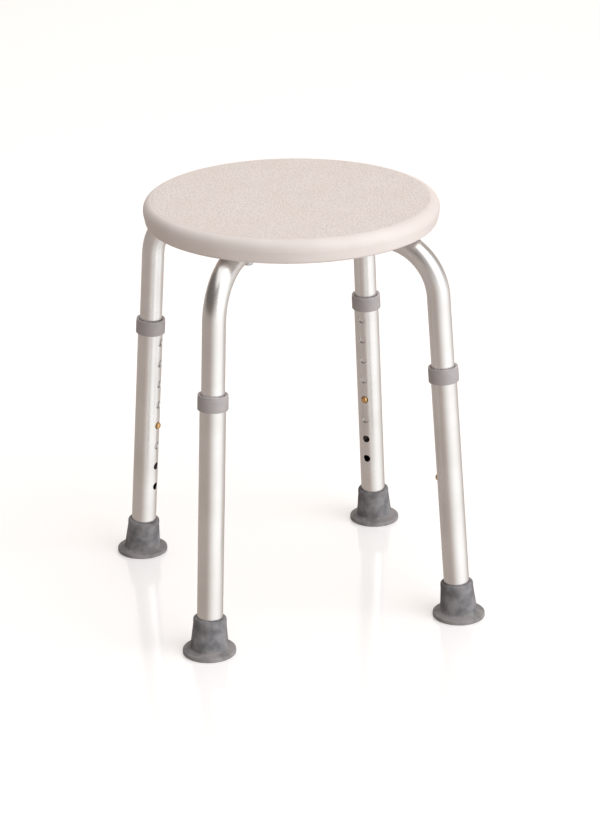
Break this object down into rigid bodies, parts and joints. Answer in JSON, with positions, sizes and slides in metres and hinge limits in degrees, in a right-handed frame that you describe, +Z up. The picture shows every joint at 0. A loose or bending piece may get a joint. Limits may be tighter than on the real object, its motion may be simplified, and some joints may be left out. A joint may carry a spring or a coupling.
{
  "type": "shower stool",
  "caption": "Backless round stool for a shower: moulded seat on bent aluminium tubes, with legs that adjust in height by snap buttons and stand on rubber feet.",
  "frame": {"origin": "on the floor, under the middle of the seat", "axes": "+Z up; the legs stand on the diagonals of X and Y, and the front faces -Y"},
  "size_m": [0.3432, 0.3432, 0.454],
  "materials": {
    "seat_plastic": "fine pebbled top, smooth satin rim",
    "tube_aluminium": "satin anodised",
    "leg_aluminium": "satin anodised",
    "collar_plastic": "moulded satin",
    "foot_rubber": "matt moulded",
    "button_brass": "plated",
    "spring_steel": "as rolled",
    "fastener_steel": "zinc plated",
    "insert_brass": "turned"
  },
  "bodies": {
    "frame": {"seat": "seat_plastic", "seat_inserts": "insert_brass", "upper_frame_tube": "tube_aluminium", "lower_frame_tube": "tube_aluminium", "seat_screws": "fastener_steel", "saddle_washers": "fastener_steel", "centre_bolt": "fastener_steel", "centre_nut": "fastener_steel", "snap_spring_front_left": "spring_steel", "snap_spring_front_right": "spring_steel", "snap_spring_rear_right": "spring_steel", "snap_spring_rear_left": "spring_steel"},
    "leg_front_left": {"leg_tube_front_left": "leg_aluminium", "collar_front_left": "collar_plastic", "foot_front_left": "foot_rubber", "foot_washer_front_left": "fastener_steel"},
    "button_front_left": {"snap_arm_front_left": "button_brass"},
    "leg_front_right": {"leg_tube_front_right": "leg_aluminium", "collar_front_right": "collar_plastic", "foot_front_right": "foot_rubber", "foot_washer_front_right": "fastener_steel"},
    "button_front_right": {"snap_arm_front_right": "button_brass"},
    "leg_rear_right": {"leg_tube_rear_right": "leg_aluminium", "collar_rear_right": "collar_plastic", "foot_rear_right": "foot_rubber", "foot_washer_rear_right": "fastener_steel"},
    "button_rear_right": {"snap_arm_rear_right": "button_brass"},
    "leg_rear_left": {"leg_tube_rear_left": "leg_aluminium", "collar_rear_left": "collar_plastic", "foot_rear_left": "foot_rubber", "foot_washer_rear_left": "fastener_steel"},
    "button_rear_left": {"snap_arm_rear_left": "button_brass"}
  },
  "joints": [
    {"name": "leg_height_front_left", "type": "slide", "parent": "frame", "child": "leg_front_left", "axis": [-0.0518, -0.0518, -0.9973], "range_m": [-0.0762, 0.1016], "deforming": ["snap_arm_front_left", "snap_spring_front_left"]},
    {"name": "button_press_front_left", "type": "hinge", "parent": "frame", "child": "button_front_left", "pos_m": [-0.12598, -0.12598, 0.19892], "axis": [-0.7071, 0.7071, 0], "range_deg": [0, 7], "stiffness_Nm_per_rad": 3, "springref_deg": -2.86},
    {"name": "leg_height_front_right", "type": "slide", "parent": "frame", "child": "leg_front_right", "axis": [0.0518, -0.0518, -0.9973], "range_m": [-0.0762, 0.1016], "deforming": ["snap_arm_front_right", "snap_spring_front_right"]},
    {"name": "button_press_front_right", "type": "hinge", "parent": "frame", "child": "button_front_right", "pos_m": [0.12598, -0.12598, 0.19892], "axis": [-0.7071, -0.7071, 0], "range_deg": [0, 7], "stiffness_Nm_per_rad": 3, "springref_deg": -2.86},
    {"name": "leg_height_rear_right", "type": "slide", "parent": "frame", "child": "leg_rear_right", "axis": [0.0518, 0.0518, -0.9973], "range_m": [-0.0762, 0.1016], "deforming": ["snap_arm_rear_right", "snap_spring_rear_right"]},
    {"name": "button_press_rear_right", "type": "hinge", "parent": "frame", "child": "button_rear_right", "pos_m": [0.12598, 0.12598, 0.19892], "axis": [0.7071, -0.7071, 0], "range_deg": [0, 7], "stiffness_Nm_per_rad": 3, "springref_deg": -2.86},
    {"name": "leg_height_rear_left", "type": "slide", "parent": "frame", "child": "leg_rear_left", "axis": [-0.0518, 0.0518, -0.9973], "range_m": [-0.0762, 0.1016], "deforming": ["snap_arm_rear_left", "snap_spring_rear_left"]},
    {"name": "button_press_rear_left", "type": "hinge", "parent": "frame", "child": "button_rear_left", "pos_m": [-0.12598, 0.12598, 0.19892], "axis": [0.7071, 0.7071, 0], "range_deg": [0, 7], "stiffness_Nm_per_rad": 3, "springref_deg": -2.86}
  ]
}
